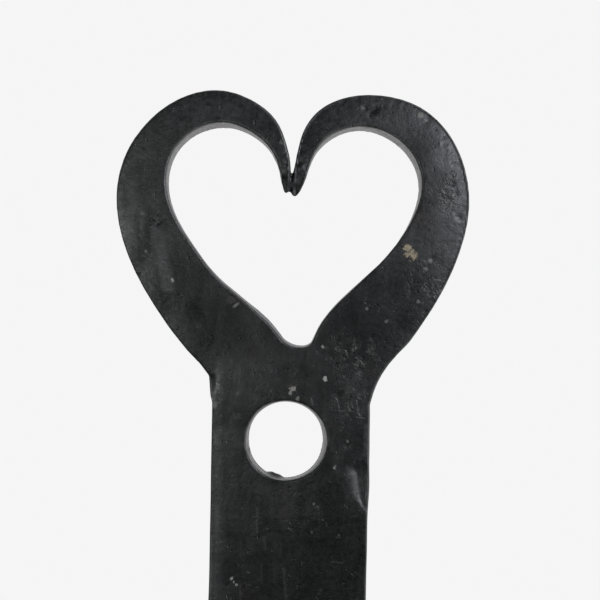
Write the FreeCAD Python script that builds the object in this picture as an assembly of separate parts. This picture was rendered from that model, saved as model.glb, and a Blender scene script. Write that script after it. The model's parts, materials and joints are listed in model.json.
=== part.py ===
"""A hand-forged strap hinge with a heart end, hung on a riveted plate pintle.

Millimetres: +Z up along the hinge pin, +X from the jamb plate along the strap to the
heart, +Y into the door and the jamb. The origin is the centre of the jamb plate's screw pattern,
on the plate's back face, so both backs lie on the plane y = 0.
"""

import math
import os

import FreeCAD
import Part

V = FreeCAD.Vector
X_AXIS, Y_AXIS, Z_AXIS = V(1, 0, 0), V(0, 1, 0), V(0, 0, 1)

# ---- driving dimensions -------------------------------------------------------------------
STRAP_WIDTH = 32.0  # 1 1/4 in flat bar
STRAP_THICK = 6.0
PIN_R = 8.0
EYE_CLEARANCE = 0.25  # radial, a loose forged fit
REACH = 400.0  # pin axis to the end of the heart
HEART_END = 70.8  # end of the heart past the tip hole's centre
HOLE_PITCH = 125.0
HOLE_COUNT = 3
HOLE_R = 7.6  # punched bolt holes
HOLE_OFFSET = 1.0  # the holes sit this far above the strap's centre line
HOLE_RIM = 0.6  # worn chamfer round each hole's front edge

LAP_GAP = 0.2  # seam between the lapped tail and the strap
LAP_END = 58.0  # end of the lapped tail, from the pin axis
LAP_RIVETS = (30.0, 48.0)  # from the pin axis
WRAP_TURN = 60.0  # degrees past the front at which the wrap leaves the pin
WRAP_BACK_R = 9.0  # centre-line radius of the bend back onto the strap

PLATE_WIDTH, PLATE_HEIGHT, PLATE_THICK = 50.0, 110.0, 6.0
PLATE_CORNER = 5.0
SCREW_R = 4.25
SCREW_SPACING_X, SCREW_SPACING_Z = 30.0, 86.0

PIN_X = 42.0  # pin axis beyond the plate's centre
BRACKET_THICK = 8.0
BRACKET_HEIGHT = 22.0
BRACKET_RIVETS = (-12.0, 10.0)
BOSS_R = 14.0

TENON_R = 6.5  # lower end of the pin, riveted through the boss
TAIL_R, TAIL_DEPTH, TAIL_DOME = 9.0, 3.0, 1.5
COLLAR_R, COLLAR_HEIGHT = 12.0, 4.0
WASHER_R, WASHER_BORE_R, WASHER_THICK = 13.0, 8.3, 2.5
PIN_STAND = 9.0  # pin showing above the eye
PIN_NOSE = 2.5

RIVET_R, RIVET_HEAD_R, RIVET_HEAD_HEIGHT = 4.0, 7.0, 3.5
RIVET_TAIL_R, RIVET_TAIL_DEPTH = 6.0, 2.0

TAIL_BEVEL = 2.0  # front corner of the lapped tail
EDGE_BEVEL = 1.0  # plate's front edges and the boss's rims
COLLAR_BEVEL = 0.8
WASHER_BEVEL = 0.4

# ---- places worked out from them ----------------------------------------------------------
EYE_R = PIN_R + EYE_CLEARANCE  # inside of the rolled eye
EYE_OUT_R = EYE_R + STRAP_THICK
PIN_Y = -EYE_OUT_R  # the eye's back is flush with the strap's back
BOSS_TOP = BRACKET_HEIGHT / 2
COLLAR_TOP = BOSS_TOP + COLLAR_HEIGHT
WASHER_TOP = COLLAR_TOP + WASHER_THICK
STRAP_Z = WASHER_TOP + STRAP_WIDTH / 2
TIP_HOLE_X = PIN_X + REACH - HEART_END
HALF = STRAP_WIDTH / 2
JOIN_X = PIN_X + LAP_END + 10  # the flat strap starts here, clear of the lap
THROUGH = 60.0  # longer than anything is thick

# The heart's outline: (along the strap from the tip hole's centre, above the strap's centre line).
# Each horn was split from the bar, drawn out to a point and bent round, so the two sides differ.
UPPER_NECK = [(8.6, 16.35), (12.8, 16.75)]
UPPER_OUTSIDE = [
    (12.8, 16.75), (20.0, 23.1), (28.0, 29.0), (36.0, 33.3), (43.0, 35.6), (50.0, 36.2),
    (57.0, 34.7), (63.0, 31.1), (67.7, 26.0), (70.2, 20.6), (70.7, 15.0), (68.9, 9.0),
    (65.0, 4.2), (59.5, 1.75), (54.0, 0.95), (50.6, 1.3),
]
UPPER_POINT = [(50.6, 1.3), (50.0, 1.75), (51.0, 2.5)]
UPPER_INSIDE = [
    (51.0, 2.5), (54.6, 3.2), (58.6, 4.9), (62.4, 9.1), (64.1, 14.7), (62.3, 20.9),
    (58.0, 24.9), (52.0, 26.2), (45.0, 24.3), (38.4, 20.0), (32.4, 15.1), (29.2, 11.2),
    (26.3, 7.6), (21.5, 2.9),
]
CROTCH = [(21.5, 2.9), (19.3, 0.4), (18.9, -1.6), (19.2, -3.2), (20.8, -4.4)]
LOWER_INSIDE = [
    (20.8, -4.4), (24.3, -6.1), (30.3, -11.4), (36.4, -17.7), (44.5, -23.5), (51.6, -25.7),
    (57.9, -24.0), (62.2, -19.4), (63.9, -13.2), (62.2, -7.4), (58.7, -4.0), (54.7, -2.5),
    (50.4, -1.05),
]
LOWER_POINT = [(50.4, -1.05), (49.45, 0.05), (50.4, 0.9)]
LOWER_OUTSIDE = [
    (50.4, 0.9), (54.0, 0.45), (57.0, -0.1), (62.0, -1.2), (67.0, -4.5), (69.9, -10.5),
    (70.2, -18.0), (68.1, -25.0), (63.0, -30.9), (56.0, -34.3), (48.0, -35.4),
    (40.0, -34.0), (32.0, -30.9), (24.0, -26.3), (20.4, -23.7), (17.5, -21.1), (13.0, -17.95),
    (10.5, -16.9), (7.5, -16.0),
]


def arc(centre, radius, start, end):
    """An arc in the XY plane about centre, from start to end in degrees, through their middle."""
    places = [
        centre + V(math.cos(math.radians(a)), math.sin(math.radians(a)), 0) * radius
        for a in (start, (start + end) / 2, end)
    ]
    return Part.Arc(*places).toShape()


def line(a, b):
    return Part.LineSegment(a, b).toShape()


def smooth(points):
    """A smooth curve through points."""
    curve = Part.BSplineCurve()
    curve.interpolate(points)
    return curve.toShape()


def cylinder(radius, height, base, axis=Z_AXIS):
    return Part.makeCylinder(radius, height, base, axis)


def revolved(profile, x, y):
    """A solid turned about the vertical line at x, y from (radius, height) points."""
    points = [V(r, 0, z) for r, z in profile]
    wire = Part.makePolygon(points + points[:1])
    solid = Part.Face(wire).revolve(V(), Z_AXIS, 360)
    solid.translate(V(x, y, 0))
    return solid


def heart_face():
    """The flat strap's outline from JOIN_X to the heart, on the plane y = 0."""

    def at(points):
        return [V(TIP_HOLE_X + along, 0, STRAP_Z + up) for along, up in points]

    top, bottom = STRAP_Z + HALF, STRAP_Z - HALF
    upper_edge, neck = V(JOIN_X, 0, top), V(TIP_HOLE_X + 7.5, 0, top)
    lower_edge = V(JOIN_X, 0, bottom)
    neck_points = [neck] + at(UPPER_NECK)
    lower_end = at(LOWER_OUTSIDE)[-1]
    edges = [line(upper_edge, neck)]
    edges += [line(a, b) for a, b in zip(neck_points, neck_points[1:])]
    for run in (UPPER_OUTSIDE, UPPER_POINT, UPPER_INSIDE, CROTCH,
                LOWER_INSIDE, LOWER_POINT, LOWER_OUTSIDE):
        edges.append(smooth(at(run)))
    edges += [line(lower_end, lower_edge), line(lower_edge, upper_edge)]
    return Part.Face(Part.Wire(Part.__sortEdges__(edges)))


def eye_face():
    """The end-on shape of the rolled eye and the tail lapped back on the strap's front."""
    centre = V(PIN_X, PIN_Y, 0)
    turn = math.radians(WRAP_TURN)
    ahead, aside = V(math.cos(turn), math.sin(turn), 0), V(math.sin(turn), -math.cos(turn), 0)
    leave = 270 + WRAP_TURN
    lap_front = -STRAP_THICK - LAP_GAP - STRAP_THICK
    lap_middle = lap_front + STRAP_THICK / 2
    middle_r = EYE_R + STRAP_THICK / 2
    start_y = PIN_Y - middle_r * math.cos(turn)
    bend_rise = WRAP_BACK_R * (1 - math.cos(turn))
    run = (lap_middle - start_y - bend_rise) / math.sin(turn)
    outer_leave, inner_leave = centre + aside * EYE_OUT_R, centre + aside * EYE_R
    outer_bend, inner_bend = outer_leave + ahead * run, inner_leave + ahead * run
    bend_centre = outer_bend + aside * (WRAP_BACK_R - STRAP_THICK / 2)
    in_r, out_r = WRAP_BACK_R - STRAP_THICK / 2, WRAP_BACK_R + STRAP_THICK / 2
    lap_x = bend_centre.x
    tail_x = PIN_X + LAP_END
    edges = [
        line(V(JOIN_X, 0, 0), V(PIN_X, 0, 0)),
        arc(centre, EYE_OUT_R, 90, leave),
        line(outer_leave, outer_bend),
        arc(bend_centre, in_r, 90 + WRAP_TURN, 90),
        line(V(lap_x, lap_front, 0), V(tail_x - TAIL_BEVEL, lap_front, 0)),
        line(V(tail_x - TAIL_BEVEL, lap_front, 0), V(tail_x, lap_front + TAIL_BEVEL, 0)),
        line(V(tail_x, lap_front + TAIL_BEVEL, 0), V(tail_x, -STRAP_THICK - LAP_GAP, 0)),
        line(V(tail_x, -STRAP_THICK - LAP_GAP, 0), V(lap_x, -STRAP_THICK - LAP_GAP, 0)),
        arc(bend_centre, out_r, 90, 90 + WRAP_TURN),
        line(inner_bend, inner_leave),
        arc(centre, EYE_R, leave, 90),
        line(V(PIN_X, -STRAP_THICK, 0), V(JOIN_X, -STRAP_THICK, 0)),
        line(V(JOIN_X, -STRAP_THICK, 0), V(JOIN_X, 0, 0)),
    ]
    return Part.Face(Part.Wire(Part.__sortEdges__(edges)))


def heart_strap():
    flat = heart_face().extrude(V(0, -STRAP_THICK, 0))
    eye = eye_face().extrude(V(0, 0, STRAP_WIDTH))
    eye.translate(V(0, 0, STRAP_Z - HALF))
    solid = flat.fuse(eye).removeSplitter()
    for x in hole_places():
        centre = V(x, 0, STRAP_Z + HOLE_OFFSET)
        solid = solid.cut(cylinder(HOLE_R, THROUGH, centre - Y_AXIS * THROUGH / 2, Y_AXIS))
        rim = Part.makeCone(HOLE_R + HOLE_RIM, HOLE_R, HOLE_RIM,
                            centre - Y_AXIS * STRAP_THICK, Y_AXIS)
        solid = solid.cut(rim)
    for x in LAP_RIVETS:
        solid = solid.cut(rivet_space(PIN_X + x, STRAP_Z))
    return solid.Solids[0]


def hole_places():
    return [TIP_HOLE_X - HOLE_PITCH * i for i in range(HOLE_COUNT)]


def rivet_space(x, z):
    """The hole that a rivet fills: a straight shank and a countersink in the back face."""
    shank = cylinder(RIVET_R, THROUGH, V(x, -THROUGH, z), Y_AXIS)
    sink = Part.makeCone(RIVET_R, RIVET_TAIL_R, RIVET_TAIL_DEPTH,
                         V(x, -RIVET_TAIL_DEPTH, z), Y_AXIS)
    return shank.fuse(sink)


def rivet(x, z, grip):
    """A button-head rivet through grip millimetres of iron, its tail hammered flush at y = 0."""
    rise = RIVET_HEAD_HEIGHT
    ball_r = (RIVET_HEAD_R**2 + rise**2) / (2 * rise)
    head = Part.makeSphere(ball_r, V(x, -grip + ball_r - rise, z))
    block = Part.makeBox(3 * RIVET_HEAD_R, rise, 3 * RIVET_HEAD_R,
                         V(x - 1.5 * RIVET_HEAD_R, -grip - rise, z - 1.5 * RIVET_HEAD_R))
    head = head.common(block)
    shank = cylinder(RIVET_R, grip, V(x, -grip, z), Y_AXIS)
    tail = Part.makeCone(RIVET_R, RIVET_TAIL_R, RIVET_TAIL_DEPTH,
                         V(x, -RIVET_TAIL_DEPTH, z), Y_AXIS)
    return head.fuse([shank, tail]).removeSplitter().Solids[0]


def pintle_plate():
    solid = Part.makeBox(PLATE_WIDTH, PLATE_THICK, PLATE_HEIGHT,
                         V(-PLATE_WIDTH / 2, -PLATE_THICK, -PLATE_HEIGHT / 2))
    corners = [e for e in solid.Edges if e.BoundBox.YLength > PLATE_THICK / 2]
    solid = solid.makeChamfer(PLATE_CORNER, corners)
    front = [e for e in solid.Edges if e.BoundBox.YMax < -PLATE_THICK + 1e-6]
    solid = solid.makeChamfer(EDGE_BEVEL, front)
    for x in (-SCREW_SPACING_X / 2, SCREW_SPACING_X / 2):
        for z in (-SCREW_SPACING_Z / 2, SCREW_SPACING_Z / 2):
            solid = solid.cut(cylinder(SCREW_R, THROUGH, V(x, -THROUGH / 2, z), Y_AXIS))
    for x in BRACKET_RIVETS:
        solid = solid.cut(rivet_space(x, 0))
    return solid.Solids[0]


def pintle_bracket():
    """The forged arm: a foot on the plate and a boss that holds the pin."""
    low = -BRACKET_HEIGHT / 2
    front = -PLATE_THICK - BRACKET_THICK
    heel_x = BRACKET_RIVETS[0]
    heel = cylinder(BRACKET_HEIGHT / 2, BRACKET_THICK, V(heel_x, front, 0), Y_AXIS)
    arm = Part.makeBox(PIN_X - heel_x, BRACKET_THICK, BRACKET_HEIGHT, V(heel_x, front, low))
    boss = cylinder(BOSS_R, BRACKET_HEIGHT, V(PIN_X, PIN_Y, low))
    solid = boss.fuse([arm, heel]).removeSplitter()
    rims = [e for e in solid.Edges
            if e.BoundBox.ZLength < 1e-6 and e.BoundBox.XMax > PIN_X + BOSS_R - 1]
    solid = solid.makeChamfer(EDGE_BEVEL, rims)
    bore = cylinder(TENON_R, BRACKET_HEIGHT, V(PIN_X, PIN_Y, low))
    sink = Part.makeCone(TAIL_R, TENON_R, TAIL_DEPTH, V(PIN_X, PIN_Y, low))
    solid = solid.cut(bore.fuse(sink))
    for x in BRACKET_RIVETS:
        solid = solid.cut(rivet_space(x, 0))
    return solid.Solids[0]


def pintle_pin():
    low = -BRACKET_HEIGHT / 2
    top = WASHER_TOP + STRAP_WIDTH + PIN_STAND
    return revolved(
        [
            (0, low - TAIL_DOME), (TAIL_R * 0.6, low - TAIL_DOME * 0.8), (TAIL_R, low),
            (TENON_R, low + TAIL_DEPTH), (TENON_R, BOSS_TOP),
            (COLLAR_R - COLLAR_BEVEL, BOSS_TOP), (COLLAR_R, BOSS_TOP + COLLAR_BEVEL),
            (COLLAR_R, COLLAR_TOP - COLLAR_BEVEL), (COLLAR_R - COLLAR_BEVEL, COLLAR_TOP),
            (PIN_R, COLLAR_TOP), (PIN_R, top - PIN_NOSE),
            (PIN_R * 0.65, top - PIN_NOSE * 0.2), (0, top),
        ],
        PIN_X, PIN_Y,
    ).Solids[0]


def thrust_washer():
    edge = WASHER_BEVEL
    return revolved(
        [
            (WASHER_BORE_R, COLLAR_TOP), (WASHER_R - edge, COLLAR_TOP),
            (WASHER_R, COLLAR_TOP + edge), (WASHER_R, WASHER_TOP - edge),
            (WASHER_R - edge, WASHER_TOP), (WASHER_BORE_R, WASHER_TOP),
        ],
        PIN_X, PIN_Y,
    ).Solids[0]


def build():
    parts = {
        "heart_strap": heart_strap(),
        "pintle_plate": pintle_plate(),
        "pintle_bracket": pintle_bracket(),
        "pintle_pin": pintle_pin(),
        "thrust_washer": thrust_washer(),
    }
    lap_grip = 2 * STRAP_THICK + LAP_GAP
    for i, x in enumerate(LAP_RIVETS, 1):
        parts[f"eye_rivet_{i}"] = rivet(PIN_X + x, STRAP_Z, lap_grip)
    for i, x in enumerate(BRACKET_RIVETS, 1):
        parts[f"bracket_rivet_{i}"] = rivet(x, 0, PLATE_THICK + BRACKET_THICK)
    return parts


os.makedirs("parts", exist_ok=True)
for name, shape in build().items():
    print(name, shape.ShapeType, shape.isValid(), round(shape.Volume, 1))
    shape.exportStep(f"parts/{name}.step")
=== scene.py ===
"""The looks of a forged strap hinge with a heart end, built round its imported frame.

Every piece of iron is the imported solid, remeshed finely, its edges eased and its faces marked the way
a hammer and long use mark them. Lengths are in metres unless a name ends in _mm. The strap's own
places are (along, up) in millimetres: along from the tip hole's centre towards the heart's end, up
from the strap's centre line.
"""
import json
import math

import bpy
import numpy as np
from mathutils import Matrix, Vector, kdtree


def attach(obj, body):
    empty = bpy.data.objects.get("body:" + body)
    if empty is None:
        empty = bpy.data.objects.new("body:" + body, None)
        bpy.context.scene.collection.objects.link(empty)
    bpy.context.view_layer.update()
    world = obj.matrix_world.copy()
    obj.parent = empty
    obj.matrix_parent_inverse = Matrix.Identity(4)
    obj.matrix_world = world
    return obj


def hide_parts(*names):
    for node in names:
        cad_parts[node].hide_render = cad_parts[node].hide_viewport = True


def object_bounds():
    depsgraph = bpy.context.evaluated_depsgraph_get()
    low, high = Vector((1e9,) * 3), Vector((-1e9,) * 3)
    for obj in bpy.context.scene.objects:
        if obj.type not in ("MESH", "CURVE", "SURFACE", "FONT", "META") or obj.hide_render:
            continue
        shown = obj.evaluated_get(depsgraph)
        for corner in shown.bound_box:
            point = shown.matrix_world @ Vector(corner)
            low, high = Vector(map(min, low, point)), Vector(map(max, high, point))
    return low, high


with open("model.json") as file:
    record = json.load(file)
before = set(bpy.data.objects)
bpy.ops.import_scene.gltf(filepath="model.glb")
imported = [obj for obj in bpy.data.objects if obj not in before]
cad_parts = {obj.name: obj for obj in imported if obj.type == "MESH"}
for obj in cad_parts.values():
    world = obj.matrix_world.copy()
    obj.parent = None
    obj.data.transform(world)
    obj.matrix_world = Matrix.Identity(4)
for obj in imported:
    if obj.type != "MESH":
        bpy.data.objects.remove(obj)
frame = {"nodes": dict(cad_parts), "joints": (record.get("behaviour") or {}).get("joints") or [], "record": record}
CAD_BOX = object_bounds()

MM = 0.001

# ---- places read from the frame -----------------------------------------------------------
MOUNTS = {m["name"]: m for m in frame["record"]["mounts"]}
BOLTS = MOUNTS["strap_bolts"]
HOLE_R_MM = BOLTS["dims"]["hole_r_mm"]
TIP_X = BOLTS["pos_m"][0] + BOLTS["dims"]["spacing_x_mm"] * MM / 2
HOLE_OFFSET_MM = 1.0  # the holes sit this far above the strap's centre line
STRAP_Z = BOLTS["pos_m"][2] - HOLE_OFFSET_MM * MM
STRAP_THICK_MM = 6.0
FRONT_Y = -STRAP_THICK_MM * MM
PIN_X, PIN_Y = frame["joints"][0]["pos_m"][:2]
PIN_R_MM = 8.0

# ---- camera: square to the strap's front, close enough to see into the heart and the hole ---
VIEW_WIDTH = 0.1216  # what the picture spans at the strap's front
VIEW_DISTANCE = 0.235
VIEW_ALONG_MM, VIEW_UP_MM = 28.5, -1.43
LEAN = math.radians(1.1)  # the strap leans this much in the picture
SENSOR_MM = 36.0

# ---- forging marks on the strap, (along, up) in millimetres ---------------------------------
# Shallow dents: (along, up, radius, depth)
DENTS = [
    (67.6, -14.0, 0.7, 0.16), (66.9, -15.2, 0.8, 0.18), (67.6, -16.2, 0.6, 0.14), (44.4, 28.7, 0.5, 0.07),
    (43.6, 27.7, 0.5, 0.08), (52.6, -31.9, 0.6, 0.10), (50.6, -32.6, 0.6, 0.10), (37.3, -28.1, 0.6, 0.12),
    (30.4, -27.9, 0.7, 0.12), (35.6, -27.2, 0.5, 0.10), (45.9, -33.3, 0.6, 0.10),
    (21.0, -16.4, 0.7, 0.12), (14.4, -14.2, 0.6, 0.10), (9.1, -9.9, 0.8, 0.10), (-0.8, -11.6, 0.7, 0.12),
    (11.2, 15.9, 0.7, 0.05),
]
# Creases, where the iron folded a little: (points, half width, depth)
CREASES = [
    ([(45.1, 31.3), (40.7, 31.0), (36.6, 30.6)], 0.8, 0.09),
    ([(45.6, 27.9), (44.1, 28.4), (43.4, 27.8), (44.6, 26.4)], 0.35, 0.05),
    ([(20.0, 8.0), (14.5, 4.0), (12.5, -3.0)], 1.4, 0.05),
]
# Past the tip hole a lip of iron was folded over at the lower edge: a bevel down to a crisp line
LIP = [(-4.5, -12.2), (-6.4, -13.7), (-9.5, -14.1), (-11.5, -14.4), (-12.9, -15.0), (-14.1, -16.0)]
LIP_BEVEL_MM, LIP_DEPTH_MM = 1.9, 0.31
# The front falls away towards the outer edges over this reach, by this much: the heart's, the strap's
CROWN_REACH_MM, CROWN_MM = 7.0, 0.32
BAR_EASE_REACH_MM, BAR_EASE_MM = 2.4, 0.19
EDGE_STEP_MM = 0.4  # how closely the outer edge is sampled for it
# How much the front slopes down, in millimetres each millimetre, at the folded facet of the neck and
# along the strap's upper edge
FACET_SLOPE = 0.10
DRAWN_SLOPE = 0.12
# The heart's two points meet on this line
POINTS_UP = 0.6
SEAM = [(49.9, 1.1), (51.5, 1.0), (54.0, 0.7)]
SEAM_HALF_WIDTH_MM, SEAM_DEPTH_MM = 0.28, 0.22
POINTS_LEAN_MM = 0.9  # how far the points' ends lie back at the strap's back face
# Lean of the heart's inner walls, in millimetres over the strap's thickness, by direction in
# degrees round the middle of the opening: 0 along the strap, 90 towards the upper side
HEART_MIDDLE = (45.0, 0.0)
INNER_LEAN = [
    (-180, 0.4), (-168, 0.0), (-160, -0.1), (-140, 0.0), (-110, -0.3), (-80, 0.1), (-60, 0.3), (-40, 0.2),
    (-22, 0.3), (-12, 0.1), (12, 0.2), (25, 0.1), (33, 0.2), (45, 0.3), (70, 0.0), (100, -0.1),
    (115, -0.1), (130, 0.2), (150, 0.25), (165, 0.5), (180, 0.4),
]
# Where the outer edges swell or shrink: (along, up, reach, millimetres)
EDGE_SWELLS = [
    (20.3, -23.5, 3.0, 0.15), (-1.0, -16.0, 4.0, 0.15), (-9.0, -16.0, 4.5, 0.30),
    (15.4, 18.5, 2.0, -0.20), (5.0, -16.0, 3.0, 0.10),
]
# The holes' walls open towards the front: radius along and across the strap, front and back
RIM_MM, BORE_MM = (8.05, 8.30), (7.80, 7.62)
RIM_LEAN_MM = 0.17  # the rim reaches this much less far on the upper side, and more on the lower
BORE_SHIFT_MM = -0.62  # the punch leant, so that the back of a hole is nearer the tail
# Rust lumps inside the tip hole: (along, up, depth behind the front, size, height)
BURR_LUMPS = [(-7.0, 3.5, 4.9, 0.7, 0.75), (-7.3, 2.1, 4.9, 0.6, 0.6), (-2.4, 8.0, 4.0, 0.6, 0.3)]
BURR_MIDDLE, BURR_REACH_MM = (-6.9, 2.8), 1.6

# ---- edge wear: how far a point stands out from the mean of those around it ------------------
WEAR_ROUNDS = 6
FULL_WEAR_MM = 0.25

# ---- marks in the strap's finish, some of them painted light and shade, (along, up) in millimetres ---
# Pale spots of old paint and lime: (along, up, radius, strength)
PALE_SPOTS = [
    (32.1, 24.6, 0.45, 0.7), (37.8, 30.0, 0.35, 0.25), (66.3, -25.2, 0.6, 0.35), (65.4, -26.4, 0.35, 0.3),
    (61.0, -29.6, 0.6, 0.2), (60.0, -31.0, 0.4, 0.2), (19.1, -6.2, 0.36, 0.5), (12.6, -6.8, 0.55, 0.9),
    (10.4, -0.3, 0.70, 0.6), (9.7, 0.2, 0.5, 0.5), (8.5, -1.3, 0.50, 0.35), (-5.3, -9.1, 0.40, 0.5),
    (0.0, -11.6, 0.35, 0.3), (-28.2, 11.5, 0.35, 0.6), (-28.9, 10.9, 0.3, 0.5), (-29.5, 10.3, 0.30, 0.5),
    (-12.8, -5.0, 0.33, 0.22), (-13.4, -5.8, 0.3, 0.16), (-18.5, -4.7, 0.35, 0.16),
    (-19.1, -10.3, 0.35, 0.12), (28.2, 12.6, 0.9, 0.07), (60.4, 3.0, 0.45, 0.2), (55.5, 2.1, 0.3, 0.2),
    (58.0, -6.4, 0.3, 0.2), (30.9, -29.9, 0.5, 0.2), (28.6, -25.4, 0.4, 0.25), (21.5, 0.2, 0.35, 0.25),
    (10.0, 14.6, 0.6, 0.1), (4.7, 10.9, 0.9, 0.05), (9.3, 10.8, 0.6, 0.05), (8.6, 7.5, 0.7, 0.04),
    (-16.0, -7.0, 0.3, 0.1), (27.0, -15.0, 0.35, 0.25), (24.5, -19.0, 0.4, 0.25),
]
# A fleck of old yellow paint, in four flakes: (along, up, radius)
YELLOW_FLAKES = [(39.5, -23.0, 0.95), (38.5, -23.7, 0.85), (37.8, -24.3, 0.95), (38.1, -22.9, 0.6)]
# Short scratches: (from along, up, to along, up, half width, strength)
SCRATCHES = [
    (49.7, -28.9, 49.3, -30.7, 0.15, 0.45), (49.4, -31.2, 47.2, -30.2, 0.15, 0.4),
    (49.0, -32.0, 46.8, -31.3, 0.17, 0.4), (47.9, -29.3, 48.3, -30.5, 0.15, 0.35),
    (46.4, -32.3, 48.9, -33.2, 0.09, 0.5), (57.5, -31.0, 55.9, -31.9, 0.10, 0.4),
    (33.2, -27.6, 29.9, -29.8, 0.10, 0.5), (26.9, 11.9, 27.6, 11.1, 0.32, 0.9),
    (41.0, -30.5, 38.4, -31.6, 0.08, 0.35), (53.3, -29.6, 51.6, -28.9, 0.08, 0.35),
    (8.5, -9.3, 6.1, -10.0, 0.16, 0.5), (6.1, -10.0, 6.2, -10.9, 0.14, 0.4),
    (8.4, -13.3, 5.4, -13.9, 0.20, 0.45), (5.0, -13.3, 4.8, -14.9, 0.20, 0.3),
    (8.6, -4.1, 7.3, -4.4, 0.2, 0.4), (-14.0, 6.4, -18.8, 6.5, 0.35, 0.16),
    (-15.6, 7.4, -15.8, 5.6, 0.25, 0.14), (-19.8, 4.9, -22.0, 4.7, 0.4, 0.14),
    (-26.2, 0.8, -32.0, 0.3, 0.35, 0.12), (-29.6, 9.6, -32.6, 9.4, 0.3, 0.14),
    (-25.2, 5.4, -29.0, 5.3, 0.25, 0.12), (-24.4, -9.0, -24.6, -11.0, 0.22, 0.2),
]
# Broad soft areas: (along, up, reach along, reach up, strength)
WORN_AREAS = [
    (56.0, -30.5, 15.0, 6.0, 0.70), (44.0, -33.0, 16.0, 7.5, 0.85), (64.5, -24.0, 6.0, 6.5, 0.25),
    (66.0, -25.8, 1.3, 1.1, 0.8),
]
CURL_AREAS = [
    (17.5, -12.5, 6.5, 7.5, 1.0), (8.0, -11.5, 8.0, 5.0, 0.7), (30.0, -26.5, 9.0, 5.0, 0.8),
    (51.0, -31.5, 6.0, 3.0, 0.7), (12.0, 2.5, 7.0, 9.0, 0.45), (-14.0, -3.5, 9.0, 8.0, 0.25),
]
# Streaks rubbed smooth, partly painted highlights along the eased edges: (from along, up, to along, up, half
# width, strength)
POLISH_AND_HIGHLIGHT_STREAKS = [
    (42.5, 27.9, 38.4, 27.0, 1.2, 0.9), (38.4, 27.0, 31.0, 25.4, 1.5, 1.2),
    (-20.0, 16.3, -34.0, 16.2, 1.2, 3.2), (-14.0, 15.6, -34.0, 15.5, 2.6, 1.1),
    (1.0, 14.6, -12.0, 15.0, 1.8, 0.6), (3.0, -15.4, -2.5, -15.4, 0.7, 1.0),
    (-6.5, -13.1, -10.6, -13.6, 0.8, 0.4), (-11.0, -14.1, -12.7, -14.8, 0.4, 1.6),
    (-12.7, -14.7, -14.0, -15.8, 0.4, 1.6), (12.8, 15.0, 10.4, 14.9, 0.45, 2.0),
    (10.4, 14.9, 9.2, 15.8, 0.4, 2.0), (9.2, 15.9, 6.8, 15.6, 0.6, 1.8),
]
# Where the front is paler or darker, partly its uneven finish and partly painted light and shade as the light
# falls across it, with painted shade in its dents and creases: (along, up, reach along, reach up, strength)
PALE_TONE_AND_LIGHT_AREAS = [
    (57.0, 32.5, 16.0, 8.0, 0.8), (47.0, 34.5, 15.0, 5.0, 1.5), (-14.0, 14.5, 12.0, 8.0, 0.2),
    (15.0, 13.0, 3.5, 4.5, 0.7), (11.0, 8.5, 3.0, 4.5, 0.5), (-9.0, -2.0, 9.0, 9.0, 0.4),
    (-30.0, 15.0, 12.0, 5.0, 0.5), (-8.0, -13.0, 6.0, 3.0, 0.9), (67.5, 14.0, 5.0, 14.0, 0.9),
    (66.0, 20.0, 8.0, 12.0, 0.7), (66.0, -14.0, 5.0, 10.0, 0.3), (58.0, 33.0, 9.0, 5.0, 1.0),
]
DARK_TONE_AND_SHADE_AREAS = [
    (22.0, 15.0, 12.0, 13.0, 1.1), (22.0, -14.0, 12.0, 11.0, 1.2), (12.0, 0.0, 8.0, 14.0, 0.5),
    (20.0, 5.0, 7.0, 6.0, 0.8), (31.0, -17.0, 8.0, 5.0, 0.8), (-13.0, -4.0, 12.0, 9.0, 0.5),
    (27.0, 20.0, 7.0, 6.0, 0.8), (40.5, 29.9, 6.0, 1.3, 1.0), (34.0, 21.5, 7.0, 3.0, 0.5),
    (67.6, -14.1, 0.9, 0.9, 1.0), (66.9, -15.1, 0.8, 0.9, 1.0), (67.7, -16.0, 0.8, 0.8, 1.0),
    (44.2, 28.4, 0.9, 0.7, 0.9), (43.0, 27.5, 0.8, 0.5, 0.8), (45.4, 29.6, 1.4, 0.4, 0.6),
    (27.5, 27.0, 6.5, 3.0, 0.9), (23.0, 22.0, 5.0, 3.5, 0.8), (25.5, 19.5, 6.0, 5.0, 1.4),
    (25.5, -23.0, 5.0, 5.0, 1.3), (61.5, -27.0, 5.0, 6.0, 0.6), (11.2, 15.8, 1.4, 0.7, 0.5),
    (-26.0, -8.0, 18.0, 14.0, 0.9), (-12.0, -10.0, 6.0, 6.0, 0.6), (52.0, 0.6, 5.0, 4.0, 1.0),
    (31.0, 22.0, 9.0, 8.0, 0.8), (31.0, -22.5, 9.0, 9.0, 1.0), (-24.0, -14.0, 16.0, 4.0, 0.8),
]


# ==== repeatable noise for moving points =====================================================
def cell_values(cells, seed):
    """A repeatable value from -1 to 1 for each whole-number cell."""
    x, y, z = (cells[..., i].astype(np.int64) for i in range(3))
    n = (x * 73856093) ^ (y * 19349663) ^ (z * 83492791) ^ (seed * 2654435761)
    n = (n ^ (n >> 15)) * 2246822519 & 0xFFFFFFFF
    n = (n ^ (n >> 13)) * 3266489917 & 0xFFFFFFFF
    return ((n ^ (n >> 16)) & 0xFFFFFFFF) / 2147483647.5 - 1.0


def soft_noise(points, size, seed):
    """Smooth noise from -1 to 1 whose lumps are about size across."""
    q = points / size
    base = np.floor(q)
    f = q - base
    f = f * f * f * (f * (f * 6 - 15) + 10)
    total = np.zeros(len(points))
    for corner in range(8):
        step = np.array([corner & 1, corner >> 1 & 1, corner >> 2 & 1])
        weight = np.prod(np.where(step == 1, f, 1 - f), axis=1)
        total += weight * cell_values(base + step, seed)
    return total


def step_up(value, low, high):
    """Goes smoothly from 0 at low to 1 at high."""
    t = np.clip((value - low) / (high - low), 0, 1)
    return t * t * (3 - 2 * t)


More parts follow.
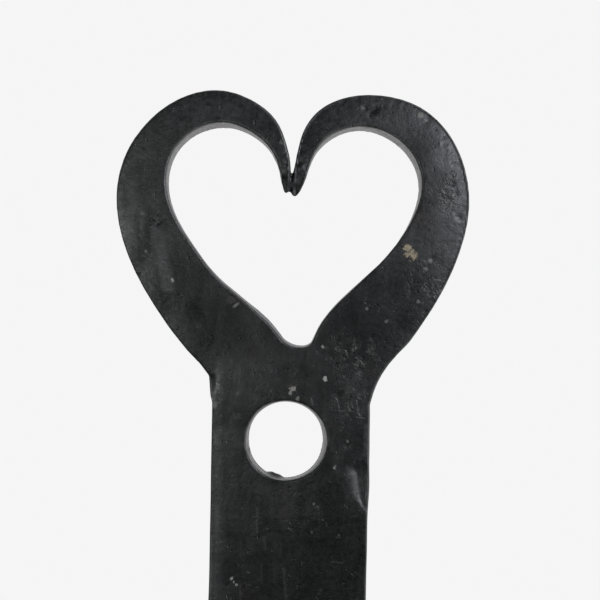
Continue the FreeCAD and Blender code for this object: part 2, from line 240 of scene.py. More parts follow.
def path_measure(along, up, points):
    """Each point's distance from a run of straight pieces, and on which side it lies (left is +)."""
    best = np.full(len(along), 1e9)
    side = np.zeros(len(along))
    for (a0, u0), (a1, u1) in zip(points, points[1:]):
        da, du = a1 - a0, u1 - u0
        t = np.clip(((along - a0) * da + (up - u0) * du) / (da * da + du * du), 0, 1)
        ra, ru = along - a0 - t * da, up - u0 - t * du
        distance = np.hypot(ra, ru)
        nearer = distance < best
        best = np.where(nearer, distance, best)
        side = np.where(nearer, np.sign(da * ru - du * ra), side)
    return best, side


# ==== meshes =================================================================================
def points_of(mesh):
    values = np.zeros(len(mesh.vertices) * 3)
    mesh.vertices.foreach_get("co", values)
    return values.reshape(-1, 3)


def normals_of(mesh):
    values = np.zeros(len(mesh.vertices) * 3)
    mesh.vertex_normals.foreach_get("vector", values)
    return values.reshape(-1, 3)


def fine_copy(node, voxel, smoothing, factor=0.5):
    """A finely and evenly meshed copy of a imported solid, its sharp edges eased."""
    obj = bpy.data.objects.new(node + "_iron", frame["nodes"][node].data.copy())
    bpy.context.scene.collection.objects.link(obj)
    weld = obj.modifiers.new("weld", "WELD")
    weld.merge_threshold = 0.002 * MM
    remesh = obj.modifiers.new("remesh", "REMESH")
    remesh.mode = "VOXEL"
    remesh.voxel_size = voxel
    ease = obj.modifiers.new("ease", "SMOOTH")
    ease.factor = factor
    ease.iterations = smoothing
    return baked(obj)


def baked(obj):
    """Applies obj's modifiers to its mesh."""
    depsgraph = bpy.context.evaluated_depsgraph_get()
    mesh = bpy.data.meshes.new_from_object(obj.evaluated_get(depsgraph))
    obj.modifiers.clear()
    obj.data = mesh
    for polygon in mesh.polygons:
        polygon.use_smooth = True
    return obj


def thinned(obj, triangles):
    """Brings a mesh down to about so many triangles, fewest where it is flattest."""
    count = sum(len(p.vertices) - 2 for p in obj.data.polygons)
    if count > triangles:
        thin = obj.modifiers.new("thin", "DECIMATE")
        thin.ratio = triangles / count
        thin.use_collapse_triangulate = True
        baked(obj)
    return obj


def hammer(obj, depth_mm, size_mm, seed, calm=None):
    """Dents every face inwards by up to depth_mm. calm(points) scales it down, as at a bearing."""
    mesh = obj.data
    co = points_of(mesh)
    normal = normals_of(mesh)
    mm = co / MM
    wave = 0.6 * soft_noise(mm, size_mm, seed) + 0.4 * soft_noise(mm, size_mm * 0.42, seed + 1)
    depth = depth_mm * (0.5 - 0.5 * wave)
    if calm is not None:
        depth *= calm(mm)
    co -= normal * (depth * MM)[:, None]
    mesh.vertices.foreach_set("co", co.ravel())
    mesh.update()


def write_attribute(obj, name, values):
    attribute = obj.data.attributes.new(name, "FLOAT", "POINT")
    attribute.data.foreach_set("value", values.astype(np.float32))


def edge_wear(obj):
    """Writes how exposed each point is, -1 in a hollow to 1 on an edge, to the point attribute wear."""
    mesh = obj.data
    co = points_of(mesh)
    normal = normals_of(mesh)
    ends = np.zeros(len(mesh.edges) * 2, np.int64)
    mesh.edges.foreach_get("vertices", ends)
    a, b = ends.reshape(-1, 2).T
    degree = np.bincount(a, minlength=len(co)) + np.bincount(b, minlength=len(co))
    degree = np.maximum(degree, 1)[:, None]

    def mean_round(values):
        total = np.zeros_like(values)
        np.add.at(total, a, values[b])
        np.add.at(total, b, values[a])
        return total / degree

    wide = co
    for _ in range(WEAR_ROUNDS):
        wide = mean_round(wide)
    raised = ((co - wide) * normal).sum(1) / MM
    write_attribute(obj, "wear", np.clip(raised / FULL_WEAR_MM, -1, 1))


# ==== the strap ==============================================================================
def strap_coordinates(co):
    """(along, up, deep) in millimetres: deep is behind the strap's front face."""
    return (co[:, 0] - TIP_X) / MM, (co[:, 2] - STRAP_Z) / MM, (co[:, 1] - FRONT_Y) / MM


def lean_inner_walls(co, normal):
    """Tilts the heart's inner walls, which a chisel and a bick iron never leave square."""
    along, up, deep = strap_coordinates(co)
    from_a, from_u = along - HEART_MIDDLE[0], up - HEART_MIDDLE[1]
    far = np.maximum(np.hypot(from_a, from_u), 0.001)
    facing = -(normal[:, 0] * from_a + normal[:, 2] * from_u) / far
    # near the points the walls face sideways, not the middle of the heart
    facing = np.where(np.abs(up) < 9, np.maximum(facing, np.abs(normal[:, 2]) * (from_a > 4)), facing)
    inside = step_up(facing, 0.1, 0.6) * (far < 34) * (along > 17) * (along < 65)
    outer_point_wall = (np.abs(up) < 9) & (from_a > 4) & (normal[:, 2] * up < 0)
    inside = np.where(outer_point_wall, 0, inside)
    angles, leans = np.array(INNER_LEAN).T
    lean = np.interp(np.degrees(np.arctan2(from_u, from_a)), angles, leans)
    at_points = (np.abs(up) < 9) & (from_a > 4)
    fade = np.where(up > POINTS_UP, step_up(along, 50.5, 54.0), step_up(along, 53.5, 58.0))
    lean = np.where(at_points, lean * fade, lean)
    shift = inside * lean * (deep / STRAP_THICK_MM - 0.2)
    flat = np.stack([normal[:, 0], np.zeros(len(co)), normal[:, 2]], axis=1)
    flat /= np.maximum(np.linalg.norm(flat, axis=1), 0.001)[:, None]
    return flat * (shift * MM)[:, None]


def shape_holes(co):
    """Bolt holes were punched from the front, so that their walls narrow towards the back."""
    along, up, deep = strap_coordinates(co)
    layer = np.clip(deep / STRAP_THICK_MM, 0, 1)
    move = np.zeros_like(co)
    for i in range(3):
        ra = along + i * BOLTS["dims"]["spacing_x_mm"] / 2 - BORE_SHIFT_MM * layer
        ru = up - HOLE_OFFSET_MM
        radius = np.maximum(np.hypot(ra, ru), 0.001)
        lengthways = (ra / radius) ** 2
        rim = RIM_MM[0] * lengthways + (RIM_MM[1] - RIM_LEAN_MM * ru / radius) * (1 - lengthways)
        bore = BORE_MM[0] * lengthways + BORE_MM[1] * (1 - lengthways)
        wall = rim + (bore - rim) * layer + 0.07 * soft_noise(co / MM, 3.0, 31 + i)
        near = (radius > 3) & (radius < wall)
        change = np.where(near, wall - radius, 0) * MM
        move[:, 0] += change * ra / radius
        move[:, 2] += change * ru / radius
    return move


def edge_swell(co, normal):
    """How far the outer side walls stand out near the named places, in millimetres."""
    along, up, _ = strap_coordinates(co)
    out = np.zeros(len(co))
    for a, u, reach, height in EDGE_SWELLS:
        out += height * np.exp(-((along - a) ** 2 + (up - u) ** 2) / reach**2)
    return out * (1 - np.abs(normal[:, 1]))


def hole_burr(co):
    """Rust lumps inside the tip hole, on its wall near the back."""
    along, up, deep = strap_coordinates(co)
    move = np.zeros_like(co)
    for a, u, d, size, height in BURR_LUMPS:
        near = np.exp(-((along - a) ** 2 + (up - u) ** 2 + (deep - d) ** 2) / (2 * size**2))
        ra, ru = -a, HOLE_OFFSET_MM - u
        length = math.hypot(ra, ru)
        move[:, 0] += near * height * MM * ra / length
        move[:, 2] += near * height * MM * ru / length
    return move


def front_relief(co, normal):
    """How far each point of the front face moves out, in millimetres, for the named marks."""
    along, up, deep = strap_coordinates(co)
    front = step_up(-normal[:, 1], 0.35, 0.9) * (deep < 2.5) * (along > -60)
    out = np.zeros(len(co))
    for a, u, radius, depth in DENTS:
        out -= depth * np.exp(-((along - a) ** 2 + (up - u) ** 2) / radius**2)
    for points, half_width, depth in CREASES:
        distance, _ = path_measure(along, up, points)
        out -= depth * np.exp(-((distance / half_width) ** 2))
    # the folded facet at the upper side of the neck
    facet = step_up(along, 4.4, 6.6) * (1 - step_up(along, 11.8, 13.6))
    out -= facet * FACET_SLOPE * np.clip(up - 13.8 - 0.2 * np.abs(along - 9.5), 0, 2.6)
    # the strap's long upper edge, drawn down by the hammer
    drawn = (1 - step_up(along, -7.0, -2.0)) * (0.6 + 0.4 * step_up(-along, 12, 20))
    out -= drawn * DRAWN_SLOPE * np.clip(up - 14.6, 0, 1.6)
    # the folded lip at the lower edge: a bevel that ends at a crisp line
    distance, side = path_measure(along, up, LIP)
    reach = step_up(-along, 3.5, 6.5) * (1 - step_up(-along, 12.0, 16.0))
    past_line = np.where(side < 0, -distance, distance)
    tapered = 1 - 0.55 * step_up(-along, 9.5, 13.0)
    bevel = np.clip(1 + past_line / (LIP_BEVEL_MM * tapered), 0, 1)
    out -= reach * LIP_DEPTH_MM * tapered * bevel * (0.4 + 0.6 * bevel)
    return out * front


def near_points(co):
    """1 at the two drawn-out points of the heart, 0 away from them."""
    along, up, _ = strap_coordinates(co)
    near = (1 - step_up(np.abs(up - POINTS_UP), 3.0, 5.5)) * step_up(along, 47.0, 48.0)
    return near * (1 - step_up(along, 54.0, 62.0))


def draw_points_back(co):
    """The points' ends lean back towards the heart's end behind their front edges."""
    along, up, deep = strap_coordinates(co)
    near = (1 - step_up(np.abs(up - POINTS_UP), 2.6, 4.2)) * (1 - step_up(along, 50.5, 54.0))
    near *= step_up(along, 46.0, 47.0)
    move = np.zeros_like(co)
    move[:, 0] = POINTS_LEAN_MM * near * np.clip(deep / STRAP_THICK_MM, 0, 1) * MM
    return move


def seam_between_points(co, normal):
    """1 in the groove where the two points of the heart meet, 0 away from it."""
    along, up, _ = strap_coordinates(co)
    distance, _ = path_measure(along, up, SEAM)
    return np.exp(-((distance / SEAM_HALF_WIDTH_MM) ** 2)) * step_up(np.abs(normal[:, 1]), 0.2, 0.7)


def is_inner_wall(co, normal):
    """Which points face into the heart's opening or lie by a bolt hole."""
    along, up, _ = strap_coordinates(co)
    from_a, from_u = along - HEART_MIDDLE[0], up - HEART_MIDDLE[1]
    facing = -(normal[:, 0] * from_a + normal[:, 2] * from_u)
    crotch = (np.abs(up) < 6) & (along > 49) & (normal[:, 2] * (up - POINTS_UP) < 0)
    inner = (facing > 0) & (along > 17) & (along < 66) & (np.hypot(from_a, from_u) < 34) & ~crotch
    for i in range(3):
        spacing = BOLTS["dims"]["spacing_x_mm"] / 2
        inner |= np.hypot(along + i * spacing, up - HOLE_OFFSET_MM) < HOLE_R_MM + 2
    return inner


def crown(co, normal):
    """How far the front falls away towards the outer edges, in millimetres."""
    outer = (np.abs(normal[:, 1]) < 0.5) & ~is_inner_wall(co, normal)
    cells = np.round(co[outer][:, [0, 2]] / (EDGE_STEP_MM * MM)).astype(np.int64)
    cells = np.unique(cells, axis=0) * EDGE_STEP_MM
    tree = kdtree.KDTree(len(cells))
    for i, (x, z) in enumerate(cells):
        tree.insert((x, z, 0), i)
    tree.balance()
    flat = np.abs(normal[:, 1]) >= 0.5
    away = np.zeros(len(co))
    away[flat] = [tree.find((x, z, 0))[2] for x, z in co[flat][:, [0, 2]] / MM]
    along, up, _ = strap_coordinates(co)
    lip = step_up(-along, 1.5, 5.0) * (1 - step_up(-along, 11, 22)) * (up < 0)
    bar = 1 - step_up(along, 9, 32)  # the strap's edges are eased more narrowly than the heart's
    heart_depth = CROWN_MM * np.where(up > 0, 0.45 * (1 - step_up(along, 50, 64)), 1)
    depth = heart_depth * (1 - bar) + bar * np.where(up > 0, BAR_EASE_MM, BAR_EASE_MM / 3) * (1 - lip)
    reach = CROWN_REACH_MM * (1 - bar) + BAR_EASE_REACH_MM * bar
    return depth * np.clip(1 - away / reach, 0, 1) ** 2 * flat


def area_share(along, up, areas):
    """How far each point lies within any of the soft ovals, 0 to 1."""
    most = np.zeros(len(along))
    for a, u, reach_along, reach_up, strength in areas:
        away = np.hypot((along - a) / reach_along, (up - u) / reach_up)
        most = np.maximum(most, strength * (1 - step_up(away, 0.25, 1.0)))
    return most


def mark_areas(obj):
    """Writes the strap's areas and side walls to point attributes: wall and rim, its darkest share, which is
    painted shade; the areas hold painted light and shade as well as tone and wear.
    """
    co = points_of(obj.data)
    tilt = 1 - np.abs(normals_of(obj.data)[:, 1])
    along, up, deep = strap_coordinates(co)
    # the side walls, which are coloured with a painted reflection; by the holes this reaches onto their eased rims
    wall = step_up(tilt, 0.45, 0.8)
    for i in range(3):
        radius = np.hypot(along + i * BOLTS["dims"]["spacing_x_mm"] / 2, up - HOLE_OFFSET_MM)
        wall = np.where(radius < HOLE_R_MM + 1.4, step_up(tilt, 0.15, 0.5), wall)
    wall *= 1 - 0.8 * near_points(co) * (1 - step_up(along, 50.5, 53.5))
    burr = np.exp(-((along - BURR_MIDDLE[0]) ** 2 + (up - BURR_MIDDLE[1]) ** 2) / BURR_REACH_MM**2)
    wall *= 1 - burr
    write_attribute(obj, "wall", wall)
    # painted shade on the walls: the heart's walls are painted darker on the tail side, as every wall is near the
    # front, and painted lighter at its far end
    tailwards = HEART_MIDDLE[0] - along
    shaded = step_up(tailwards, -4, 8) * (1 - step_up(tailwards, 24, 26))
    rim = np.maximum(1 - 0.8 * step_up(deep, 0.8, 4.5), 0.9 * shaded)
    lit = step_up(along, 50, 58)
    write_attribute(obj, "rim", np.maximum(wall * rim * (1 - 0.6 * lit), burr))
    face = (1 - step_up(deep, 0.9, 1.6)) * (1 - wall)
    # the front's broad paler and darker areas: uneven finish with painted light and shade, and painted shade in
    # the dents and creases; the rust lumps in the tip hole are darker too
    write_attribute(obj, "dark_and_shade", np.maximum(area_share(along, up, DARK_TONE_AND_SHADE_AREAS) * face, burr))
    for name, areas in (("worn", WORN_AREAS), ("curled", CURL_AREAS), ("pale", PALE_TONE_AND_LIGHT_AREAS)):
        write_attribute(obj, name, area_share(along, up, areas) * face)


def strap_iron():
    """The strap and heart: one forged bar."""
    voxel = 0.29 * MM
    obj = fine_copy("heart_strap", voxel, 1, 0.35)
    mesh = obj.data
    co = points_of(mesh)
    normal = normals_of(mesh)
    co += lean_inner_walls(co, normal) + shape_holes(co) + hole_burr(co) + draw_points_back(co)
    mm = co / MM
    bearing = np.hypot(mm[:, 0] - PIN_X / MM, mm[:, 1] - PIN_Y / MM)
    calm = step_up(bearing, PIN_R_MM + 2, PIN_R_MM + 6)
    front = np.clip(-normal[:, 1], 0, 1)
    swell = 0.5 * soft_noise(mm, 22.0, 5) + 0.3 * soft_noise(mm, 9.0, 6) + 0.2 * soft_noise(mm, 4.2, 7)
    out = -0.06 * (1 - swell) * calm - crown(co, normal) * front * calm
    points = near_points(co)
    out += front_relief(co, normal) + 0.10 * points * soft_noise(mm, 1.3, 77)
    out -= SEAM_DEPTH_MM * seam_between_points(co, normal)
    side = 1 - np.abs(normal[:, 1])
    wobble = (0.05 * (1 - points) + 0.06 * soft_noise(mm, 7.0, 9)) * calm * side
    co += normal * ((out + wobble + edge_swell(co, normal)) * MM)[:, None]
    mesh.vertices.foreach_set("co", co.ravel())
    mesh.update()
    edge_wear(obj)
    mark_areas(obj)
    return thinned(obj, 195_000)


# ==== material building ======================================================================
class Graph:
    """Short names for the shader nodes that the iron materials are made of."""

    def __init__(self, name):
        self.material = bpy.data.materials.new(name)
        self.material.use_nodes = True
        self.tree = self.material.node_tree
        self.shader = self.tree.nodes["Principled BSDF"]

    def node(self, kind, **settings):
        made = self.tree.nodes.new(kind)
        for key, value in settings.items():
            setattr(made, key, value)
        return made

    def feed(self, socket, value):
        if isinstance(value, bpy.types.NodeSocket):
            self.tree.links.new(value, socket)
        else:
            socket.default_value = value

    def math(self, operation, a, b=0.0, clamp=False):
        made = self.node("ShaderNodeMath", operation=operation, use_clamp=clamp)
        self.feed(made.inputs[0], a)
        self.feed(made.inputs[1], b)
        return made.outputs[0]

    def vector(self, operation, a, b=(0, 0, 0)):
        made = self.node("ShaderNodeVectorMath", operation=operation)
        self.feed(made.inputs[0], a)
        self.feed(made.inputs[1], b)
        return made.outputs["Value" if operation in ("LENGTH", "DISTANCE", "DOT_PRODUCT") else "Vector"]

    def place_mm(self, origin=(0, 0, 0)):
        """The point being shaded, in millimetres from origin."""
        where = self.node("ShaderNodeTexCoord").outputs["Object"]
        from_origin = self.vector("SUBTRACT", where, origin)
        return self.vector("MULTIPLY", from_origin, (1 / MM, 1 / MM, 1 / MM))

    def noise(self, place, size, detail=3.0, roughness=0.55, warp=0.0):
        made = self.node("ShaderNodeTexNoise")
        self.feed(made.inputs["Vector"], place)
        made.inputs["Scale"].default_value = 1 / size
        made.inputs["Detail"].default_value = detail
        made.inputs["Roughness"].default_value = roughness
        made.inputs["Distortion"].default_value = warp
        return made.outputs["Fac"]

    def step(self, value, low, high, to_low=0.0, to_high=1.0):
        made = self.node("ShaderNodeMapRange", interpolation_type="SMOOTHSTEP")
        self.feed(made.inputs["Value"], value)
        for name, number in (("From Min", low), ("From Max", high), ("To Min", to_low), ("To Max", to_high)):
            made.inputs[name].default_value = number
        return made.outputs["Result"]

    def blend(self, share, a, b):
        made = self.node("ShaderNodeMix", data_type="RGBA")
        self.feed(made.inputs["Factor"], share)
        self.feed(made.inputs[6], a)
        self.feed(made.inputs[7], b)
        return made.outputs[2]

    def bump(self, height, distance):
        made = self.node("ShaderNodeBump")
        made.inputs["Strength"].default_value = 1.0
        made.inputs["Distance"].default_value = distance
        self.feed(made.inputs["Height"], height)
        return made.outputs["Normal"]

    def spots(self, flat, spots, ragged):
        """Ragged round spots on the front: 0 outside them, up to each one's strength inside."""
        most = 0.0
        for along, up, radius, strength in spots:
            away = self.vector("DISTANCE", flat, (along, 0, up))
            uneven = self.math("MULTIPLY", self.math("SUBTRACT", ragged, 0.5), radius * 2.6)
            away = self.math("ADD", away, uneven)
            spot = self.step(away, radius * 0.55, radius * 1.05, strength, 0.0)
            most = self.math("MAXIMUM", most, spot)
        return most

    def lines(self, flat, lines):
        """Short straight marks on the front, soft at their edges."""
        most = 0.0
        for a0, u0, a1, u1, half_width, strength in lines:
            run = Vector((a1 - a0, 0, u1 - u0))
            from_start = self.vector("SUBTRACT", flat, (a0, 0, u0))
            reached = self.vector("DOT_PRODUCT", from_start, tuple(run))
            share = self.math("DIVIDE", reached, run.length_squared)
            share = self.math("ADD", share, 0.0, clamp=True)
            nearest = self.node("ShaderNodeVectorMath", operation="SCALE")
            nearest.inputs[0].default_value = tuple(run)
            self.feed(nearest.inputs["Scale"], share)
            away = self.vector("DISTANCE", from_start, nearest.outputs["Vector"])
            mark = self.step(away, half_width * 0.3, half_width * 1.3, strength, 0.0)
            most = self.math("MAXIMUM", most, mark)
        return most

    def attribute(self, name):
        return self.node("ShaderNodeAttribute", attribute_name=name).outputs["Fac"]


BLACK = (0.0060, 0.0062, 0.0064, 1)
GREY_GREEN = (0.022, 0.0240, 0.0235, 1)
WORN = (0.105, 0.105, 0.107, 1)
# near black, for pits and for the painted shade of the front's darker areas
PIT_AND_SHADE_BLACK = (0.006, 0.006, 0.006, 1)
FLECK = (0.72, 0.71, 0.66, 1)
RUST = (0.030, 0.020, 0.014, 1)
# grey of scuffed iron, also used for the painted light of the paler areas and the painted highlights along eased
# edges
SCUFF_AND_HIGHLIGHT_GREY = (0.085, 0.087, 0.093, 1)
BARE = (0.50, 0.50, 0.52, 1)
OLD_YELLOW = (0.78, 0.66, 0.44, 1)
# painted reflection: lighter colours for the side walls, standing in for the bright backdrop that they reflect
WALL_REFLECTION_DIM = (0.055, 0.055, 0.053, 1)
WALL_REFLECTION_BRIGHT = (0.150, 0.150, 0.146, 1)
SCALE_IOR = 1.9  # forge scale is denser than paint
BUMP_MM = 0.10


def iron(name, seed, wear_amount=1.0, origin=(0, 0, 0)):
    """Blackened forged iron: mottled, pitted, worn grey on its edges. Returns its graph and parts."""
    g = Graph(name)
    place = g.place_mm(origin)
    shifted = g.vector("ADD", place, (seed * 13.7, seed * 7.1, seed * 3.3))
    broad = g.noise(shifted, 15.0, 3.0, 0.6)
    patch = g.noise(shifted, 4.0, 5.0, 0.62, 0.6)
    grain = g.noise(shifted, 0.9, 4.0, 0.6)
    streaky = g.noise(g.vector("MULTIPLY", shifted, (0.28, 0.7, 1.0)), 2.4, 2.0, 0.5, 0.5)
    mottle = g.math("ADD", g.math("MULTIPLY", broad, 0.55), g.math("MULTIPLY", patch, 0.45))
    tone = g.step(mottle, 0.36, 0.66)
    colour = g.blend(tone, BLACK, GREY_GREEN)
    # rust blush in the lowest patches
    blush = g.step(g.noise(shifted, 9.0, 4.0, 0.6), 0.58, 0.72, 0.0, 0.4)
    colour = g.blend(blush, colour, RUST)
    # edges rubbed back to grey metal, broken by the grain
    exposed = g.math("ADD", g.attribute("wear"), g.math("MULTIPLY", g.math("SUBTRACT", patch, 0.5), 0.7))
    rubbed = g.math("MULTIPLY", g.step(exposed, 0.18, 0.75), wear_amount)
    colour = g.blend(rubbed, colour, WORN)
    # pits
    pits = g.step(g.noise(g.vector("ADD", shifted, (5.5, 1.5, 9.5)), 1.15, 2.0, 0.5), 0.66, 0.74)
    pits = g.math("MULTIPLY", pits, g.step(patch, 0.42, 0.6))
    colour = g.blend(g.math("MULTIPLY", pits, 0.6), colour, PIT_AND_SHADE_BLACK)
    # sparse pale flecks
    flecks = g.step(g.noise(g.vector("ADD", shifted, (2.2, 8.1, 4.4)), 0.55, 1.0, 0.4), 0.785, 0.82)
    flecks = g.math("MULTIPLY", flecks, g.step(broad, 0.4, 0.6))
    colour = g.blend(g.math("MULTIPLY", flecks, 0.25), colour, FLECK)
    rough = g.step(grain, 0.25, 0.75, 0.27, 0.41)
    shine = g.math("ADD", g.math("MULTIPLY", mottle, 0.55), g.math("MULTIPLY", streaky, 0.45))
    gloss = g.step(shine, 0.34, 0.66, 0.32, 0.55)
    relief = g.math("ADD", g.math("MULTIPLY", grain, 0.30), g.math("MULTIPLY", patch, 0.7))
    relief = g.math("SUBTRACT", relief, g.math("MULTIPLY", pits, 0.7))
    return g, {"place": place, "shifted": shifted, "colour": colour, "rough": rough, "relief": relief,
               "patch": patch, "grain": grain, "gloss": gloss}


def finish_iron(g, parts):
    g.feed(g.shader.inputs["Base Color"], parts["colour"])
    g.feed(g.shader.inputs["Roughness"], parts["rough"])
    g.feed(g.shader.inputs["Specular IOR Level"], parts["gloss"])
    g.shader.inputs["IOR"].default_value = SCALE_IOR
    g.shader.inputs["Metallic"].default_value = 0.15
    g.feed(g.shader.inputs["Normal"], g.bump(parts["relief"], BUMP_MM * MM))
    return g.material


def strap_material():
    g, parts = iron("forged_strap_iron", 1.0, 1.0, (TIP_X, FRONT_Y, STRAP_Z))
    flat = g.vector("MULTIPLY", parts["place"], (1, 0, 1))
    ragged = g.noise(parts["place"], 0.6, 2.0, 0.6)
    deep = g.node("ShaderNodeSeparateXYZ")
    g.feed(deep.inputs[0], parts["place"])
    front = g.step(deep.outputs["Y"], 0.9, 1.6, 1.0, 0.0)
    walls = g.attribute("wall")
    face = g.math("MULTIPLY", front, g.math("SUBTRACT", 1.0, walls))

    def on_face(mask):
        return g.math("MULTIPLY", mask, face)

    # broad paler and darker areas: uneven finish, with painted light and shade across the front and painted shade
    # in its dents and creases
    uneven = g.step(parts["patch"], 0.3, 0.7, 0.6, 1.0)
    pale = g.math("MULTIPLY", g.attribute("pale"), uneven)
    dark_and_shade = g.math("MULTIPLY", g.attribute("dark_and_shade"), uneven)
    colour = g.blend(g.math("MULTIPLY", pale, 0.10), parts["colour"], SCUFF_AND_HIGHLIGHT_GREY)
    colour = g.blend(g.math("MULTIPLY", dark_and_shade, 0.55), colour, PIT_AND_SHADE_BLACK)
    gloss = g.math("MULTIPLY", parts["gloss"], g.math("ADD", 1.0, g.math("MULTIPLY", pale, 0.55)))
    gloss = g.math("MULTIPLY", gloss, g.math("SUBTRACT", 1.0, g.math("MULTIPLY", dark_and_shade, 0.5)))
    # the rubbed lower lobe
    scuffed = g.math("ADD", g.math("MULTIPLY", parts["patch"], 0.65), g.math("MULTIPLY", ragged, 0.35))
    scuffs = g.math("MULTIPLY", g.step(scuffed, 0.43, 0.62), 0.40)
    share = g.math("MULTIPLY", g.attribute("worn"), g.math("ADD", 0.30, scuffs))
    colour = g.blend(share, colour, SCUFF_AND_HIGHLIGHT_GREY)
    # streaks rubbed smooth, partly painted highlights along the eased edges
    polish_and_highlights = on_face(g.lines(flat, POLISH_AND_HIGHLIGHT_STREAKS))
    colour = g.blend(g.math("MULTIPLY", polish_and_highlights, 0.25), colour, SCUFF_AND_HIGHLIGHT_GREY)
    gloss = g.math("ADD", gloss, g.math("MULTIPLY", polish_and_highlights, 0.16))
    # curls of scale and lime, and the pits among them
    curl_noise = g.noise(parts["shifted"], 3.4, 1.0, 0.5, 2.4)
    thin = g.step(g.math("ABSOLUTE", g.math("SUBTRACT", curl_noise, 0.52)), 0.0, 0.085, 1.0, 0.0)
    blotches = g.noise(parts["shifted"], 1.9, 2.0, 0.5)
    broken = g.step(blotches, 0.47, 0.60)
    curl_area = g.attribute("curled")
    curls = g.math("MULTIPLY", g.math("MULTIPLY", thin, broken), curl_area)
    colour = g.blend(g.math("MULTIPLY", g.math("MULTIPLY", broken, curl_area), 0.038), colour, FLECK)
    colour = g.blend(g.math("MULTIPLY", curls, 0.06), colour, FLECK)
    chalk = g.math("MULTIPLY", g.math("MULTIPLY", curls, g.step(ragged, 0.58, 0.66)), 0.30)
    colour = g.blend(chalk, colour, FLECK)
    holes = g.math("MULTIPLY", g.step(parts["grain"], 0.36, 0.46, 1.0, 0.0), curl_area)
    colour = g.blend(g.math("MULTIPLY", holes, 0.7), colour, PIT_AND_SHADE_BLACK)
    gloss = g.math("MULTIPLY", gloss, g.math("SUBTRACT", 1.0, g.math("MULTIPLY", holes, 0.6)))
    # scratches and pale spots
    scratches = on_face(g.math("MULTIPLY", g.lines(flat, SCRATCHES), g.step(ragged, 0.38, 0.55, 0.3, 1.0)))
    colour = g.blend(g.math("MULTIPLY", scratches, 0.6), colour, BARE)
    spots = on_face(g.spots(flat, PALE_SPOTS, ragged))
    colour = g.blend(spots, colour, FLECK)
    flakes = [(along, up, radius, 1.0) for along, up, radius in YELLOW_FLAKES]
    yellow = on_face(g.spots(flat, flakes, ragged))
    thick = g.step(parts["grain"], 0.36, 0.60, 0.30, 0.80)
    colour = g.blend(g.math("MULTIPLY", yellow, thick), colour, OLD_YELLOW)
    # painted reflection: the walls of the heart and the holes are coloured lighter, standing in for the bright
    # backdrop that they reflect
    wall_reflection = g.blend(g.step(parts["patch"], 0.35, 0.65), WALL_REFLECTION_DIM, WALL_REFLECTION_BRIGHT)
    # rim: painted shade on the walls near the front and on the heart's tail side, which keeps the painted
    # reflection and the gloss off them
    rim = g.attribute("rim")
    wall_reflection_share = g.math("SUBTRACT", walls, g.math("MULTIPLY", rim, 0.5))
    colour = g.blend(g.math("MULTIPLY", wall_reflection_share, 0.9), colour, wall_reflection)

    parts["colour"] = colour
    parts["gloss"] = g.math("MULTIPLY", gloss, g.math("SUBTRACT", 1.0, g.math("MULTIPLY", rim, 0.85)))
    rough = g.math("ADD", parts["rough"], g.math("MULTIPLY", walls, 0.08))
    parts["rough"] = g.math("ADD", rough, g.math("MULTIPLY", spots, 0.2), clamp=True)
    relief = g.math("ADD", parts["relief"], g.math("MULTIPLY", curls, 0.5))
    relief = g.math("SUBTRACT", relief, g.math("MULTIPLY", holes, 0.5))
    parts["relief"] = relief
    return finish_iron(g, parts)


def plain_iron(name, seed, wear_amount=1.0):
    g, parts = iron(name, seed, wear_amount)
    return finish_iron(g, parts)


# ==== the other pieces =======================================================================
def iron_piece(node, body, material, voxel_mm=0.5, depth_mm=0.2, size_mm=9.0, seed=1,
               triangles=60_000, calm=None):
    obj = fine_copy(node, voxel_mm * MM, 3)
    hammer(obj, depth_mm, size_mm, seed, calm)
    edge_wear(obj)
    thinned(obj, triangles)
    return placed(obj, node, body, material)


def placed(obj, node, body, material):
    obj.data.materials.clear()
    obj.data.materials.append(material)
    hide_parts(node)
    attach(obj, body)
    return obj


def off_the_pin(mm):
    """0 on the pin and the faces that bear on it, 1 elsewhere."""
    return step_up(np.hypot(mm[:, 0] - PIN_X / MM, mm[:, 1] - PIN_Y / MM), PIN_R_MM + 3, PIN_R_MM + 6)


def build_pieces():
    plate_iron = plain_iron("forged_plate_iron", 2.0)
    rivet_iron = plain_iron("rivet_iron", 3.0)
    pin_steel = plain_iron("pin_steel", 4.0, 1.5)
    placed(strap_iron(), "heart_strap", "strap", strap_material())
    iron_piece("pintle_plate", "pintle", plate_iron, seed=11)
    iron_piece("pintle_bracket", "pintle", plate_iron, seed=12, calm=off_the_pin)
    iron_piece("pintle_pin", "pintle", pin_steel, 0.4, 0.08, 6.0, 13)
    iron_piece("thrust_washer", "washer", pin_steel, 0.3, 0.04, 5.0, 14)
    for i in (1, 2):
        iron_piece(f"eye_rivet_{i}", "strap", rivet_iron, 0.3, 0.25, 4.0, 20 + i)
        iron_piece(f"bracket_rivet_{i}", "pintle", rivet_iron, 0.3, 0.25, 4.0, 30 + i)


# ==== the studio =============================================================================
def camera():
    data = bpy.data.cameras.new("camera")
    obj = bpy.data.objects.new("camera", data)
    bpy.context.scene.collection.objects.link(obj)
    data.sensor_width = SENSOR_MM
    data.lens = SENSOR_MM * VIEW_DISTANCE / VIEW_WIDTH
    data.clip_start = 0.01
    # the picture's up runs along the strap, leaning a little; its right is the strap's lower side
    up = Vector((math.cos(LEAN), 0, math.sin(LEAN)))
    right = Vector((math.sin(LEAN), 0, -math.cos(LEAN)))
    back = Vector((0, -1, 0))
    target = Vector((TIP_X + VIEW_ALONG_MM * MM, FRONT_Y, STRAP_Z + VIEW_UP_MM * MM))
    turn = Matrix((right, up, back)).transposed().to_4x4()
    obj.matrix_world = Matrix.Translation(target + back * VIEW_DISTANCE) @ turn
    bpy.context.scene.camera = obj


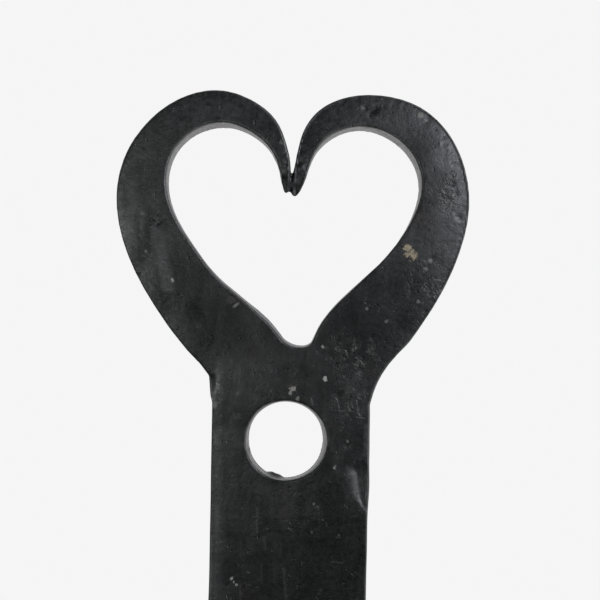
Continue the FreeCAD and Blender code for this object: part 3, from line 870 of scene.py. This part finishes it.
def soft_light(name, place, target, size, power, colour):
    data = bpy.data.lights.new(name, "AREA")
    data.shape = "RECTANGLE"
    data.size, data.size_y = size
    data.energy = power
    data.color = colour
    obj = bpy.data.objects.new(name, data)
    bpy.context.scene.collection.objects.link(obj)
    obj.location = place
    obj.rotation_mode = "QUATERNION"
    obj.rotation_quaternion = (Vector(target) - Vector(place)).to_track_quat("-Z", "Y")


BACKDROP = 0.915  # how light the plain background is
BEHIND, BEFORE = 0.95, 0.012  # the studio's brightness behind the hinge and in front of it
FLOOR_DROP = 0.60
FLOOR_CORNERS = [(-1.4, -1.6), (1.8, -1.6), (1.8, 0.8), (-1.4, 0.8)]
FLOOR_GLOW = 0.34  # as though lit from above by a wide soft light
LIGHTS = [
    # name, degrees towards the strap's lower side and along it, distance, size, power, colour
    ("lower_side", 24, 15, 0.75, (0.14, 0.18), 0.68, (0.98, 1.0, 1.10)),
    ("upper_side", -21, -4, 0.75, (0.08, 0.40), 0.36, (0.93, 1.0, 0.97)),
]


def studio():
    world = bpy.data.worlds.new("studio")
    bpy.context.scene.world = world
    world.use_nodes = True
    tree = world.node_tree
    direction = tree.nodes.new("ShaderNodeTexCoord").outputs["Generated"]
    apart = tree.nodes.new("ShaderNodeSeparateXYZ")
    tree.links.new(direction, apart.inputs[0])
    level = tree.nodes.new("ShaderNodeMapRange")
    level.interpolation_type = "SMOOTHSTEP"
    tree.links.new(apart.outputs["Y"], level.inputs["Value"])
    for name, value in (("From Min", -0.15), ("From Max", 0.35), ("To Min", BEFORE), ("To Max", BEHIND)):
        level.inputs[name].default_value = value
    seen = tree.nodes.new("ShaderNodeLightPath").outputs["Is Camera Ray"]
    mix = tree.nodes.new("ShaderNodeMix")
    tree.links.new(seen, mix.inputs["Factor"])
    tree.links.new(level.outputs["Result"], mix.inputs[2])
    mix.inputs[3].default_value = BACKDROP
    tree.links.new(mix.outputs[0], tree.nodes["Background"].inputs["Color"])
    heart = Vector((TIP_X + VIEW_ALONG_MM * MM, FRONT_Y, STRAP_Z))
    for name, aside, along, distance, size, power, colour in LIGHTS:
        aside, along = math.radians(aside), math.radians(along)
        ray = Vector((math.tan(along), -1, -math.tan(aside))).normalized()
        soft_light(name, heart + ray * distance, heart, size, power, colour)
    bpy.context.scene.view_settings.view_transform = "Standard"


def floor():
    """A plain pale floor well below the hinge, which hangs on a door."""
    low = CAD_BOX[0].z - FLOOR_DROP
    mesh = bpy.data.meshes.new("floor")
    mesh.from_pydata([(x, y, low) for x, y in FLOOR_CORNERS], [], [(0, 1, 2, 3)])
    obj = bpy.data.objects.new("floor", mesh)
    bpy.context.scene.collection.objects.link(obj)
    g = Graph("pale_floor")
    mottle = g.noise(g.place_mm(), 60.0, 3.0)
    g.feed(g.shader.inputs["Base Color"], g.blend(mottle, (0.80, 0.80, 0.80, 1), (0.84, 0.84, 0.84, 1)))
    g.shader.inputs["Roughness"].default_value = 0.8
    g.shader.inputs["Emission Color"].default_value = (1, 1, 1, 1)
    g.shader.inputs["Emission Strength"].default_value = FLOOR_GLOW
    mesh.materials.append(g.material)


camera()
studio()
floor()
build_pieces()
